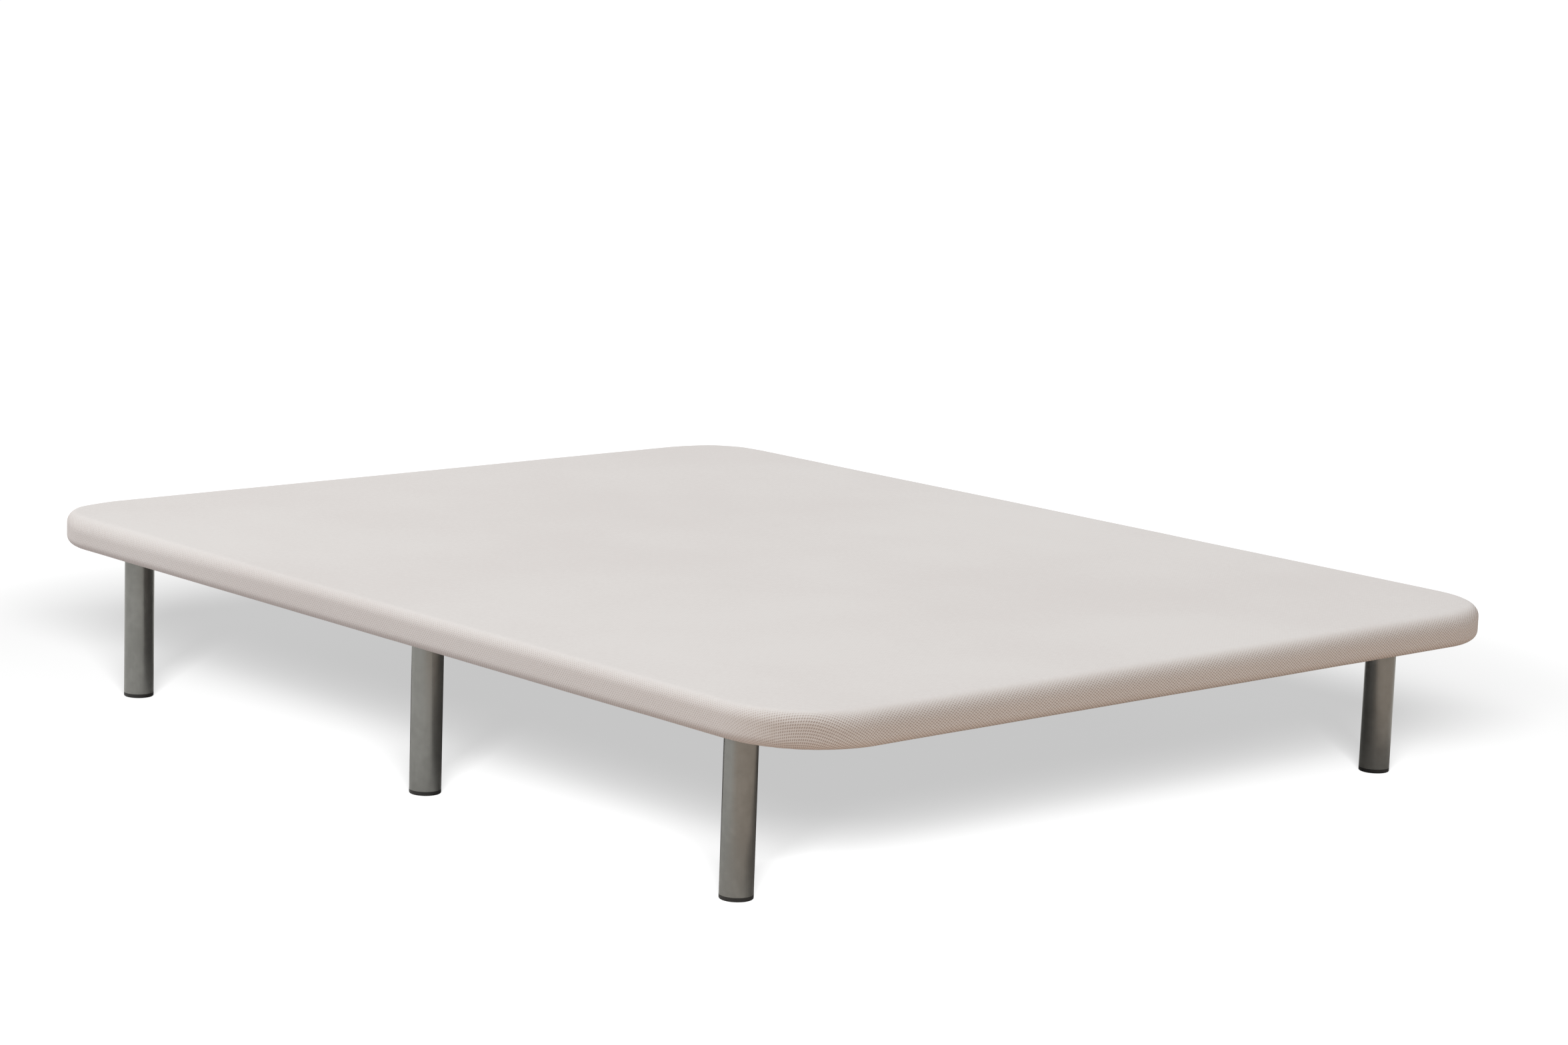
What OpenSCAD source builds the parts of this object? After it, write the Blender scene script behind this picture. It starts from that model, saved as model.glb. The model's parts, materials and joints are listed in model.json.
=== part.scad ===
// Upholstered bed base on six screw-in legs.
// Lengths are in millimetres. The floor is z = 0, X runs along the length and Y across the width.
// From the floor up: legs, lining, turned-in edge of the cover, steel tubes, board, foam, cover.

/* [Base] */
// Length of the base
base_l = 1900; // [1700:10:2200]
// Width of the base
base_w = 1500; // [1350:10:2000]
// Radius of the four upright corners
corner_r = 150; // [120:5:190]

/* [Upholstery] */
// Thickness of the spacer mesh cover
cover_t = 2; // [1:0.5:3]
// Width of the cover's turned-in edge under the base
return_w = 56; // [50:1:56]
// Thickness of the foam around the sides
side_foam_t = 12; // [9:1:16]
// Thickness of the foam on the board
top_foam_t = 8; // [5:1:20]
// Rounding of the cover's upper edge
top_edge_r = 17; // [10:1:20]
// Thickness of the lining under the base
lining_t = 0.5; // [0.3:0.1:1]
// How far the lining stays in from the outline of the base
lining_in = 34; // [25:1:45]

/* [Board] */
// Thickness of the board
board_t = 10; // [6:1:16]
// Shank of the screws that hold the board
screw_d = 4.2; // [3.5:0.1:5]
// Head of the screws that hold the board
screw_head_d = 8.4; // [7:0.1:10]
// Screws along each cross tube
screws_per_tube = 5; // [3:1:9]
// How far the outer screws sit in from the ends of a cross tube
screw_end_in = 106; // [80:1:150]

/* [Steel frame] */
// Side of the square tube
tube = 30; // [25:1:40]
// Wall of the square tube
tube_wall = 1.5; // [1:0.1:2.5]
// Rounding of the square tube's edges
tube_edge_r = 3; // [2.6:0.1:5]
// Where the second and fourth cross tubes lie between their neighbours
cross_share = 0.5; // [0.35:0.05:0.65]

/* [Battens] */
// Width of the battens that the cover is stapled to
batten_w = 18; // [14:1:24]
// Height of the battens
batten_h = 18; // [12:1:24]
// Clearance at each end of a batten
batten_gap = 1; // [0.5:0.5:3]
// Width of the corner blocks
block_w = 32; // [24:1:50]

/* [Leg sockets] */
// Length of a socket plate across its tube
plate_l = 70; // [56:1:90]
// Width of a socket plate along its tube
plate_w = 46; // [36:1:46]
// Outside of the threaded bush
bush_d = 16; // [14:0.5:20]
// Height of the bush above its plate
bush_h = 20; // [12:1:24]

/* [Legs] */
// Height of a leg
leg_h = 240; // [120:5:350]
// Outside of a leg
leg_d = 48; // [40:1:50]
// Wall of a leg
leg_wall = 1.5; // [1:0.1:3]
// How far the legs' axes stand in from the long sides
leg_side_in = 81; // [81:1:120]
// How far the outer legs' axes stand in from the ends
leg_end_in = 200; // [200:5:300]
// How far the middle legs stand from the middle of the length
leg_mid_shift = 40; // [-60:5:60]
// Thickness of the disc that closes the top of a leg
disc_t = 4; // [2.5:0.5:6]
// Height of the cap below the end of the tube
cap_rim_h = 6.5; // [4:0.5:12]
// Height of the cap's plug inside the tube
cap_plug_h = 18; // [12:1:30]
// Wall of the cap
cap_wall = 2.5; // [1.5:0.5:4]
// Rounding of the cap's lower edge
cap_edge_r = 2; // [1:0.5:3]
// Ribs around the cap's plug
cap_ribs = 3; // [2:1:4]

/* [Leg bolts] */
// Thread of the leg bolts
bolt_d = 10; // [8:1:12]
// Width across the flats of the bolt's head
bolt_head_af = 17; // [15:1:19]
// Height of the bolt's head
bolt_head_h = 6.4; // [5:0.1:8]
// Radial play of the bolt in its bush and disc
bolt_play = 0.05; // [0.03:0.01:0.1]
// Space between the tip of the bolt and the tube's upper wall
bolt_tip_gap = 1; // [1:0.5:4]

/* [Hidden] */
$fn = 96;
side_names = ["left", "right"];
end_names = ["head", "foot"];
corner_names = ["head_left", "head_right", "foot_left", "foot_right"];
leg_names = ["head_left", "head_right", "middle_left", "middle_right", "foot_left", "foot_right"];

// One node for each separate piece; the pieces that repeat are named by their place
LEG_PIECES = ["socket_", "leg_tube_", "leg_disc_", "leg_bolt_", "foot_cap_"];

// Heights of the layers
cover_z = leg_h + lining_t;
frame_z = cover_z + cover_t;
board_z = frame_z + tube;
foam_z = board_z + board_t;
slab_h = cover_t + tube + board_t + top_foam_t + cover_t;

// The steel ring stands in from the outline by the cover and the foam
ring_in = cover_t + side_foam_t;
ring_r = corner_r - ring_in;
rail_y = base_w / 2 - ring_in - tube / 2;
rail_x = base_l / 2 - ring_in - tube / 2;
core_l = base_l - 2 * corner_r;
core_w = base_w - 2 * corner_r;
inside_y = rail_y - tube / 2;
inside_x = rail_x - tube / 2;

// Legs stand in pairs under the first, third and fifth cross tubes
leg_y = base_w / 2 - leg_side_in;
leg_x = base_l / 2 - leg_end_in;
leg_places = [for (x = [-leg_x, leg_mid_shift, leg_x], y = [leg_y, -leg_y]) [x, y]];
cross_x = [-leg_x, -leg_x + (leg_mid_shift + leg_x) * cross_share, leg_mid_shift,
    leg_x - (leg_x - leg_mid_shift) * cross_share, leg_x];
screw_y = [for (i = [0 : screws_per_tube - 1])
    (inside_y - screw_end_in) * (2 * i / (screws_per_tube - 1) - 1)];
screw_reach = 4;
screw_play = 0.1;

bolt_hole_r = bolt_d / 2 + bolt_play;
bolt_reach = lining_t + cover_t + tube - tube_wall - bolt_tip_gap;
leg_bore_r = leg_d / 2 - leg_wall;
plug_play = 0.6;
rib_h = 1.5;

// Quarter turns that carry a corner at +X +Y to the corner of each name
corner_places = [[-1, 1, 90], [-1, -1, 180], [1, 1, 0], [1, -1, 270]];

module at_corner(i) {
    place = corner_places[i];
    translate([place[0] * core_l / 2, place[1] * core_w / 2, 0]) rotate([0, 0, place[2]]) children();
}

// Rectangle with round corners, centred
module round_rect(l, w, r) {
    union() {
        square([l - 2 * r, w], center = true);
        square([l, w - 2 * r], center = true);
        for (x = [-1, 1], y = [-1, 1])
            translate([x * (l / 2 - r), y * (w / 2 - r)]) circle(r);
    }
}

// Flat sheet with the outline of the base, set in by a margin
module base_plate(margin, t) {
    linear_extrude(t) round_rect(base_l - 2 * margin, base_w - 2 * margin, corner_r - margin);
}

// Section of the base's edge: x is the distance from a corner's centre, the outer face is at x = corner_r - inset
module edge_section(inner_x, inset) {
    h = slab_h - 2 * inset;
    outer_x = corner_r - inset;
    top_r = top_edge_r - inset;
    low_r = ring_in - inset;
    translate([0, inset]) union() {
        translate([inner_x, 0]) square([outer_x - low_r - inner_x, h]);
        translate([inner_x, low_r]) square([outer_x - top_r - inner_x, h - low_r]);
        translate([inner_x, low_r]) square([outer_x - inner_x, h - low_r - top_r]);
        translate([outer_x - low_r, low_r]) circle(low_r);
        translate([outer_x - top_r, h - top_r]) circle(top_r);
    }
}

// Carries a section once around the base: four straight sides and four corners
module around_base() {
    for (s = [0, 180]) rotate([0, 0, s]) {
        translate([core_l / 2, 0, 0]) rotate([90, 0, 0])
            linear_extrude(core_w, center = true) children();
        translate([0, core_w / 2, 0]) rotate([90, 0, 90])
            linear_extrude(core_l, center = true) children();
    }
    for (i = [0 : 3]) at_corner(i) rotate_extrude(angle = 90) children();
}

module cover() {
    color("#d9d2c8") translate([0, 0, cover_z]) union() {
        around_base() difference() {
            edge_section(corner_r - return_w, 0);
            edge_section(corner_r - return_w - 1, cover_t);
        }
        translate([0, 0, slab_h - cover_t]) base_plate(return_w, cover_t);
    }
}

module lining() {
    color("#2b2b2b") translate([0, 0, leg_h]) difference() {
        base_plate(lining_in, lining_t);
        for (place = leg_places) translate([place[0], place[1], -1])
            cylinder(h = lining_t + 2, r = bolt_hole_r);
    }
}

module top_foam() {
    color("#f3efe2") translate([0, 0, cover_z]) union() {
        around_base() intersection() {
            edge_section(corner_r - return_w, cover_t);
            translate([corner_r - return_w, foam_z - cover_z]) square([return_w, top_foam_t]);
        }
        translate([0, 0, foam_z - cover_z]) base_plate(return_w, top_foam_t);
    }
}

module side_foam() {
    color("#efe9d8") translate([0, 0, cover_z]) around_base() intersection() {
        edge_section(corner_r - return_w, cover_t);
        translate([corner_r - ring_in, cover_t]) square([side_foam_t, tube + board_t]);
    }
}

// Countersunk outline of a board screw, head up, with the head's face at z = 0
module screw_shape(play, reach) {
    head_r = screw_head_d / 2;
    shank_r = screw_d / 2 + play;
    rotate_extrude() polygon([[0, 0], [head_r, 0], [shank_r, shank_r - head_r], [shank_r, -reach], [0, -reach]]);
}

module at_screws(tubes) {
    for (i = tubes, y = screw_y) translate([cross_x[i], y, foam_z]) children();
}

module board() {
    color("#c9a878") difference() {
        translate([0, 0, board_z]) base_plate(ring_in, board_t);
        at_screws([0 : 4]) screw_shape(screw_play, board_t + 1);
    }
}

module board_screws() {
    color("silver") at_screws([0 : 4]) screw_shape(0, board_t + tube_wall + screw_reach);
}

// Section of the square tube, centred
module tube_section() {
    difference() {
        round_rect(tube, tube, tube_edge_r);
        round_rect(tube - 2 * tube_wall, tube - 2 * tube_wall, tube_edge_r - tube_wall);
    }
}

module side_rail(side) {
    color("#4a4d50") translate([0, side * rail_y, frame_z + tube / 2]) rotate([90, 0, 90])
        linear_extrude(core_l, center = true) tube_section();
}

module end_rail(end) {
    color("#4a4d50") translate([end * rail_x, 0, frame_z + tube / 2]) rotate([90, 0, 0])
        linear_extrude(core_w, center = true) tube_section();
}

module corner_bend(i) {
    color("#4a4d50") translate([0, 0, frame_z + tube / 2]) at_corner(i) rotate_extrude(angle = 90)
        translate([ring_r - tube / 2, 0]) tube_section();
}

// The first, third and fifth cross tubes also carry the sockets of a pair of legs
module cross_tube(i) {
    color("#4a4d50") difference() {
        translate([cross_x[i], 0, frame_z + tube / 2]) rotate([90, 0, 0])
            linear_extrude(2 * inside_y, center = true) tube_section();
        at_screws([i]) screw_shape(screw_play, board_t + tube / 2);
        if (i % 2 == 0) for (y = [leg_y, -leg_y]) translate([cross_x[i], y, frame_z - 1])
            cylinder(h = tube / 2, d = bush_d);
    }
}

module side_battens(side) {
    color("#d8b98a") for (i = [0 : 3]) {
        from_x = cross_x[i] + tube / 2 + batten_gap;
        to_x = cross_x[i + 1] - tube / 2 - batten_gap;
        translate([from_x, side * (inside_y - batten_w / 2) - batten_w / 2, frame_z])
            cube([to_x - from_x, batten_w, batten_h]);
    }
}

module end_batten(end) {
    color("#d8b98a") translate([end * (inside_x - batten_w / 2), 0, frame_z + batten_h / 2])
        cube([batten_w, core_w - 2 * batten_gap, batten_h], center = true);
}

module corner_block(i) {
    outer_r = ring_r - tube;
    color("#d8b98a") translate([0, 0, frame_z]) at_corner(i) rotate_extrude(angle = 90)
        translate([outer_r - block_w, 0]) square([block_w, batten_h]);
}

module at_leg(i) {
    translate([leg_places[i][0], leg_places[i][1], 0]) children();
}

// Plate under the cross tube with a threaded bush that reaches up inside it
module socket(i) {
    color("#8d9094") at_leg(i) difference() {
        union() {
            translate([-plate_l / 2, -plate_w / 2, cover_z]) cube([plate_l, plate_w, cover_t]);
            translate([0, 0, cover_z]) cylinder(h = cover_t + bush_h, d = bush_d);
        }
        translate([0, 0, cover_z - 1]) cylinder(h = cover_t + bush_h + 2, r = bolt_hole_r);
    }
}

module leg_tube(i) {
    color("#6e6c6b") at_leg(i) translate([0, 0, cap_rim_h]) difference() {
        cylinder(h = leg_h - cap_rim_h, d = leg_d);
        translate([0, 0, -1]) cylinder(h = leg_h - cap_rim_h + 2, r = leg_bore_r);
    }
}

module leg_disc(i) {
    color("#6e6c6b") at_leg(i) translate([0, 0, leg_h - disc_t]) difference() {
        cylinder(h = disc_t, r = leg_bore_r);
        translate([0, 0, -1]) cylinder(h = disc_t + 2, r = bolt_hole_r);
    }
}

module leg_bolt(i) {
    shank = disc_t + bolt_reach;
    tip = 1;
    color("silver") at_leg(i) translate([0, 0, leg_h - disc_t]) union() {
        translate([0, 0, -bolt_head_h]) cylinder(h = bolt_head_h, d = bolt_head_af / cos(30), $fn = 6);
        cylinder(h = shank - tip, d = bolt_d);
        translate([0, 0, shank - tip]) cylinder(h = tip, d1 = bolt_d, d2 = bolt_d - 2 * tip);
    }
}

// Plastic cap: a rim as wide as the leg and a ribbed hollow plug inside its tube
module foot_cap(i) {
    plug_r = leg_bore_r - plug_play;
    pitch = cap_plug_h / (cap_ribs + 1);
    color("#1c1c1c") at_leg(i) rotate_extrude() difference() {
        union() {
            translate([0, cap_edge_r]) square([leg_d / 2, cap_rim_h - cap_edge_r]);
            square([leg_d / 2 - cap_edge_r, cap_edge_r + 1]);
            intersection() {
                translate([leg_d / 2 - cap_edge_r, cap_edge_r]) circle(cap_edge_r);
                square([leg_d / 2, cap_edge_r]);
            }
            translate([0, cap_rim_h - 1]) square([plug_r, cap_plug_h + 1]);
            for (k = [1 : cap_ribs]) translate([0, cap_rim_h + k * pitch - rib_h / 2])
                square([leg_bore_r, rib_h]);
        }
        translate([0, cap_rim_h]) square([plug_r - cap_wall, cap_plug_h + 1]);
    }
}

cover();
lining();
top_foam();
side_foam();
board();
board_screws();
for (i = [0, 1]) {
    side_rail(1 - 2 * i);
    side_battens(1 - 2 * i);
    end_rail(2 * i - 1);
    end_batten(2 * i - 1);
}
for (i = [0 : 3]) {
    corner_bend(i);
    corner_block(i);
}
for (i = [0 : 4]) cross_tube(i);
for (i = [0 : 5]) {
    socket(i);
    leg_tube(i);
    leg_disc(i);
    leg_bolt(i);
    foot_cap(i);
}
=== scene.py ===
import json
import math

import bmesh
import bpy
from mathutils import Matrix, Vector, noise


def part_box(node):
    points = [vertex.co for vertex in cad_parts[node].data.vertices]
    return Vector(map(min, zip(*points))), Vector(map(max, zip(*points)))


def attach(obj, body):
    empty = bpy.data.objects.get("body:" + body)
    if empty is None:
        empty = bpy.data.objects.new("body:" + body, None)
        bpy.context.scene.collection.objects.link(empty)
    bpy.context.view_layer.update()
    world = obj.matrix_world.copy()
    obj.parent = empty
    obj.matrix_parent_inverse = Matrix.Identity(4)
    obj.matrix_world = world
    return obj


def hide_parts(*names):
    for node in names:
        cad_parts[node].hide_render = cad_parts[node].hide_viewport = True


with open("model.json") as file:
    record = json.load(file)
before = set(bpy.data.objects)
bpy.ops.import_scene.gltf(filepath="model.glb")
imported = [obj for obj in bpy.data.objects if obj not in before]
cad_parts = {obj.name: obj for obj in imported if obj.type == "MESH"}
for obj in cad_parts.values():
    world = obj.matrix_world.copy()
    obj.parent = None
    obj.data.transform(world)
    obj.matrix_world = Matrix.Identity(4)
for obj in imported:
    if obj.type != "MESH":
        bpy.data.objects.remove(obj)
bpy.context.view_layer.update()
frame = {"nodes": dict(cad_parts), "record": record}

# Every length is in metres, in the frame's own axes: X along the base, Y across it, Z up from the floor.
MM = 0.001


# ---------------------------------------------------------------- sizes of the base, read from the frame

COVER_LOW, COVER_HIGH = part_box("cover")
LINING_LOW, LINING_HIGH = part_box("lining")
FOAM_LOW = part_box("side_foam")[0]
BEND_LOW, BEND_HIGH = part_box("corner_bend_foot_left")

TOP_Z = COVER_HIGH.z
COVER_Z = COVER_LOW.z
COVER_T = FOAM_LOW.z - COVER_Z
RING_IN = COVER_HIGH.x - BEND_HIGH.x
CORNER_R = (BEND_HIGH.x - BEND_LOW.x) + RING_IN
CORE_L = COVER_HIGH.x - COVER_LOW.x - 2 * CORNER_R
CORE_W = COVER_HIGH.y - COVER_LOW.y - 2 * CORNER_R
LINING_IN = COVER_HIGH.x - LINING_HIGH.x
LINING_T = LINING_HIGH.z - LINING_LOW.z
TOP_EDGE_R = 17 * MM
SOFT_EDGE_R = 28 * MM
RETURN_W = 56 * MM

LEGS = [name[len("leg_tube_"):] for name in frame["nodes"] if name.startswith("leg_tube_")]


def middle(node):
    low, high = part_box(node)
    return (low + high) / 2


def add_object(name, data):
    """A new object in the scene."""
    added = bpy.data.objects.new(name, data)
    bpy.context.scene.collection.objects.link(added)
    return added


# ---------------------------------------------------------------- camera

VIEW_AZIMUTH = math.radians(48.08)
VIEW_ELEVATION = math.radians(9.861)
VIEW_ROLL = math.radians(2.045)
VIEW_DISTANCE = 6.811
VIEW_TARGET = Vector((-0.416, 0.441, COVER_Z))
LENS = 88.98


def place_camera():
    """A long lens from a low stand off the foot end's right corner."""
    flat = math.cos(VIEW_ELEVATION)
    back = Vector((math.sin(VIEW_AZIMUTH) * flat, -math.cos(VIEW_AZIMUTH) * flat, math.sin(VIEW_ELEVATION)))
    right = Vector((math.cos(VIEW_AZIMUTH), math.sin(VIEW_AZIMUTH), 0))
    up = back.cross(right)
    right, up = (right * math.cos(VIEW_ROLL) + up * math.sin(VIEW_ROLL),
                 up * math.cos(VIEW_ROLL) - right * math.sin(VIEW_ROLL))
    camera = add_object("camera", bpy.data.cameras.new("camera"))
    camera.data.lens = LENS
    camera.data.sensor_width = 36
    camera.data.clip_end = 100
    place = VIEW_TARGET + back * VIEW_DISTANCE
    camera.matrix_world = Matrix.Translation(place) @ Matrix((right, up, back)).transposed().to_4x4()
    bpy.context.scene.camera = camera


# ---------------------------------------------------------------- shader helpers

class Tree:
    """Adds nodes to one shader or geometry tree and joins them as they are made."""

    def __init__(self, tree):
        self.tree = tree

    def add(self, kind, inputs=None, **settings):
        node = self.tree.nodes.new(kind)
        for name, value in settings.items():
            setattr(node, name, value)
        for key, value in (inputs or {}).items():
            socket = node.inputs[key]
            if isinstance(value, bpy.types.NodeSocket):
                self.tree.links.new(value, socket)
            else:
                socket.default_value = value
        return node

    def math(self, operation, *values):
        return self.add("ShaderNodeMath", dict(enumerate(values)), operation=operation).outputs[0]

    def vector(self, operation, *values):
        node = self.add("ShaderNodeVectorMath", dict(enumerate(values)), operation=operation)
        return node.outputs["Vector"]

    def span(self, value, low, high, to_low=0.0, to_high=1.0):
        """Smooth step of value from low..high to to_low..to_high."""
        node = self.add("ShaderNodeMapRange", {0: value, 1: low, 2: high, 3: to_low, 4: to_high},
                        interpolation_type="SMOOTHSTEP")
        return node.outputs[0]

    def mix(self, share, first, second):
        return self.add("ShaderNodeMix", {0: share, 6: first, 7: second}, data_type="RGBA").outputs[2]

    def noise(self, place, scale, detail=2.0):
        return self.add("ShaderNodeTexNoise", {"Vector": place, "Scale": scale, "Detail": detail}).outputs[0]

    def stretch(self, place, scale):
        return self.add("ShaderNodeMapping", {"Vector": place, "Scale": scale}).outputs[0]

    def bump(self, height, distance, strength=1.0):
        inputs = {"Height": height, "Distance": distance, "Strength": strength}
        return self.add("ShaderNodeBump", inputs).outputs[0]


def rgb(red, green, blue):
    """A colour given in the 0 to 255 steps of a colour chart, as the linear value that a shader takes."""
    def linear(step):
        share = step / 255
        return share / 12.92 if share <= 0.04045 else ((share + 0.055) / 1.055) ** 2.4
    return (linear(red), linear(green), linear(blue), 1.0)


def new_group(name, inputs, outputs):
    """A shader node group with named sockets: inputs and outputs map a name to Float, Color or Vector."""
    group = bpy.data.node_groups.new(name, "ShaderNodeTree")
    for direction, sockets in (("INPUT", inputs), ("OUTPUT", outputs)):
        for socket, kind in sockets.items():
            group.interface.new_socket(socket, in_out=direction, socket_type="NodeSocket" + kind)
    tree = Tree(group)
    return tree, tree.add("NodeGroupInput").outputs, tree.add("NodeGroupOutput").inputs


def lattice_group():
    """Oval marks in rows, every second row set half a step along: 1 inside a mark, 0 between the marks."""
    tree, given, result = new_group("lattice", {"Place": "Vector", "Step": "Vector", "Half Size": "Vector",
                                                "Softness": "Float"}, {"Mask": "Float"})
    steps = tree.vector("DIVIDE", given["Place"], given["Step"])
    scale = tree.vector("DIVIDE", given["Step"], given["Half Size"])
    reaches = []
    for start in ((0.5, 0.5, 0.5), (0.0, 0.0, 0.5)):
        within = tree.vector("FRACTION", tree.vector("ADD", steps, start))
        offset = tree.vector("MULTIPLY", tree.vector("SUBTRACT", within, (0.5, 0.5, 0.5)), scale)
        reaches.append(tree.add("ShaderNodeVectorMath", {0: offset}, operation="LENGTH").outputs["Value"])
    nearest = tree.math("MINIMUM", *reaches)
    inner = tree.math("SUBTRACT", 1.0, given["Softness"])
    outer = tree.math("ADD", 1.0, given["Softness"])
    tree.tree.links.new(tree.span(nearest, inner, outer, 1.0, 0.0), result["Mask"])
    return tree.tree


def mottle_group():
    """Slow and fine variation together: a colour between two and a value from 0 to 1."""
    tree, given, result = new_group(
        "mottle", {"Place": "Vector", "Slow": "Float", "Fine": "Float", "First": "Color", "Second": "Color"},
        {"Color": "Color", "Value": "Float"})
    slow = tree.noise(given["Place"], given["Slow"], 3.0)
    fine = tree.noise(given["Place"], given["Fine"], 2.0)
    both = tree.math("ADD", tree.math("MULTIPLY", slow, 0.65), tree.math("MULTIPLY", fine, 0.35))
    value = tree.span(both, 0.35, 0.65)
    tree.tree.links.new(value, result["Value"])
    tree.tree.links.new(tree.mix(value, given["First"], given["Second"]), result["Color"])
    return tree.tree


LATTICE = lattice_group()
MOTTLE = mottle_group()


def new_material(name):
    """An empty material with a Principled shader: (material, tree, shader)."""
    material = bpy.data.materials.new(name)
    material.use_nodes = True
    tree = Tree(material.node_tree)
    return material, tree, material.node_tree.nodes["Principled BSDF"]


def place_on_object(tree):
    return tree.add("ShaderNodeTexCoord").outputs["Object"]


def place_on_cloth(tree):
    return tree.add("ShaderNodeUVMap", uv_map="cloth").outputs[0]


def lattice(tree, place, step, half_size, softness):
    node = tree.add("ShaderNodeGroup", {"Place": place, "Step": step, "Half Size": half_size,
                                        "Softness": softness}, node_tree=LATTICE)
    return node.outputs["Mask"]


def mottle(tree, place, slow, fine, first, second):
    node = tree.add("ShaderNodeGroup", node_tree=MOTTLE)
    tree.tree.links.new(place, node.inputs["Place"])
    for name, value in (("Slow", slow), ("Fine", fine), ("First", first), ("Second", second)):
        node.inputs[name].default_value = value
    return node.outputs["Color"], node.outputs["Value"]


# ---------------------------------------------------------------- materials

WEAVE = (4.6 * MM, 5.8 * MM, 1.0)
# Half sizes of the holes' dark marks, which carry painted shade, on the ends and on the long sides
HOLE_ON_ENDS = (0.8 * MM, 1.75 * MM, 1.0)
HOLE_ON_SIDES = (1.15 * MM, 1.15 * MM, 1.0)


def spacer_mesh():
    """Beige knitted spacer cloth: rows of small open holes, darkened as the inner layer and as painted shade
    inside them, faint on the top, stronger on the long sides and strongest on the ends.
    """
    material, tree, shader = new_material("spacer_mesh")
    cloth = place_on_cloth(tree)
    solid = place_on_object(tree)
    wander = tree.add("ShaderNodeTexNoise", {"Vector": cloth, "Scale": 260.0, "Detail": 1.0}).outputs[1]
    shift = tree.vector("SUBTRACT", wander, (0.5, 0.5, 0.5))
    place = tree.vector("ADD", cloth, tree.vector("MULTIPLY", shift, (0.9 * MM, 0.9 * MM, 0.0)))
    on_side = tree.add("ShaderNodeAttribute", attribute_name="side").outputs["Fac"]
    across = tree.add("ShaderNodeAttribute", attribute_name="across").outputs["Fac"]
    half_size = tree.add("ShaderNodeMix", {0: across, 4: HOLE_ON_ENDS, 5: HOLE_ON_SIDES},
                         data_type="VECTOR").outputs[1]
    holes = lattice(tree, place, WEAVE, half_size, 0.35)
    yarn, worn = mottle(tree, solid, 2.3, 160.0, rgb(223, 218, 215), rgb(228, 224, 221))
    # Painted shade in the holes: faint on the top, full on the sides and underneath, darker on the ends than
    # on the long sides
    hole_shade_by_facing = tree.span(on_side, 0.25, 0.95, 0.06, 1.0)
    hole_shade_by_end = tree.span(across, 0.5, 1.0, 0.62, 0.3)
    depth = tree.math("MULTIPLY", holes, tree.math("MULTIPLY", hole_shade_by_facing, hole_shade_by_end))
    # The holes' colour is the darker inner layer with painted shade on it; the same mask also sinks the bump
    colour = tree.mix(depth, yarn, rgb(146, 124, 112))
    tree.tree.links.new(colour, shader.inputs["Base Color"])
    loops = tree.noise(tree.stretch(cloth, (1.0, 0.45, 1.0)), 1900.0, 1.0)
    height = tree.math("SUBTRACT", tree.math("MULTIPLY", loops, 0.35), depth)
    tree.tree.links.new(tree.bump(height, 0.5 * MM, 0.7), shader.inputs["Normal"])
    tree.tree.links.new(tree.span(worn, 0.0, 1.0, 0.86, 0.94), shader.inputs["Roughness"])
    shader.inputs["Sheen Weight"].default_value = 0.12
    shader.inputs["Sheen Roughness"].default_value = 0.5
    shader.inputs["Specular IOR Level"].default_value = 0.2
    return material


def open_foam():
    material, tree, shader = new_material("open_foam")
    place = place_on_object(tree)
    colour, _ = mottle(tree, place, 6.0, 300.0, rgb(236, 229, 205), rgb(245, 240, 220))
    cells = tree.add("ShaderNodeTexVoronoi", {"Vector": place, "Scale": 900.0}).outputs["Distance"]
    tree.tree.links.new(tree.mix(tree.span(cells, 0.0, 0.35), rgb(196, 184, 150), colour),
                        shader.inputs["Base Color"])
    tree.tree.links.new(tree.bump(cells, 0.4 * MM), shader.inputs["Normal"])
    shader.inputs["Roughness"].default_value = 0.95
    return material


def bonded_lining():
    """Black non-woven cloth with rows of small pressed points."""
    material, tree, shader = new_material("bonded_lining")
    cloth = place_on_cloth(tree)
    points = lattice(tree, cloth, (2.2 * MM, 2.2 * MM, 1.0), (0.4 * MM, 0.4 * MM, 1.0), 0.25)
    fibres, value = mottle(tree, tree.stretch(cloth, (1.0, 0.25, 1.0)), 40.0, 2600.0,
                           rgb(38, 38, 40), rgb(62, 62, 64))
    tree.tree.links.new(tree.mix(points, fibres, rgb(30, 30, 32)), shader.inputs["Base Color"])
    height = tree.math("SUBTRACT", tree.math("MULTIPLY", value, 0.5), points)
    tree.tree.links.new(tree.bump(height, 0.15 * MM, 0.8), shader.inputs["Normal"])
    shader.inputs["Roughness"].default_value = 0.85
    return material


def particle_board():
    material, tree, shader = new_material("particle_board")
    place = place_on_object(tree)
    chips = tree.add("ShaderNodeTexVoronoi", {"Vector": tree.stretch(place, (1.0, 0.6, 1.0)), "Scale": 420.0})
    tint = tree.add("ShaderNodeSeparateColor", {0: chips.outputs["Color"]}).outputs[0]
    base, value = mottle(tree, place, 9.0, 240.0, rgb(188, 152, 108), rgb(206, 172, 128))
    tree.tree.links.new(tree.mix(tree.math("MULTIPLY", tint, 0.45), base, rgb(150, 112, 74)),
                        shader.inputs["Base Color"])
    tree.tree.links.new(tree.bump(tint, 0.15 * MM, 0.5), shader.inputs["Normal"])
    tree.tree.links.new(tree.span(value, 0.0, 1.0, 0.65, 0.8), shader.inputs["Roughness"])
    return material


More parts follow.
